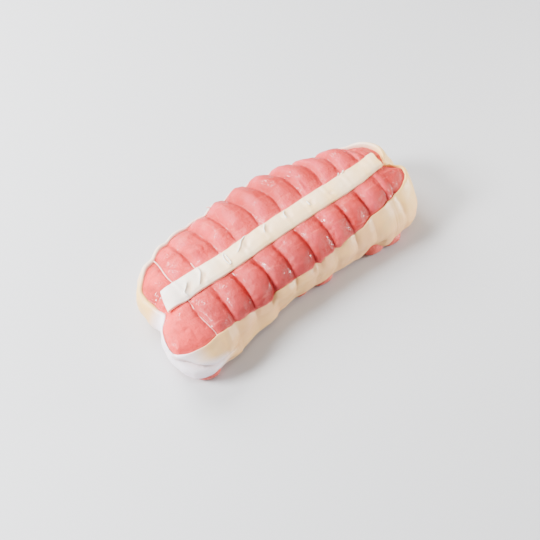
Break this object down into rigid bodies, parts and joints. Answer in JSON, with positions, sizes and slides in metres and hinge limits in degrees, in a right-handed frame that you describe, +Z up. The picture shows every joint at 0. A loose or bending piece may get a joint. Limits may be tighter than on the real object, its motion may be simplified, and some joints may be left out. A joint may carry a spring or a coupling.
{
  "type": "tied veal rump roast",
  "caption": "Raw boneless veal roast, tied crosswise with kitchen twine, with a belt of fat round its sides and a strip of fat along its top.",
  "frame": {"origin": "centre of the roast's box, at the height of the surface it rests on", "axes": "+X along the roast towards its taller end, +Z up from the surface it rests on"},
  "size_m": [0.2598, 0.1262, 0.0593],
  "materials": {
    "meat": "moist raw veal, satin with small wet highlights",
    "belt_fat": "fresh suet, satin",
    "strip_fat": "fresh suet, satin",
    "twine": "matte cotton twine, damp"
  },
  "bodies": {
    "root": {"meat": "meat", "fat_belt": "belt_fat", "fat_strip": "strip_fat", "twine": "twine"}
  },
  "joints": []
}
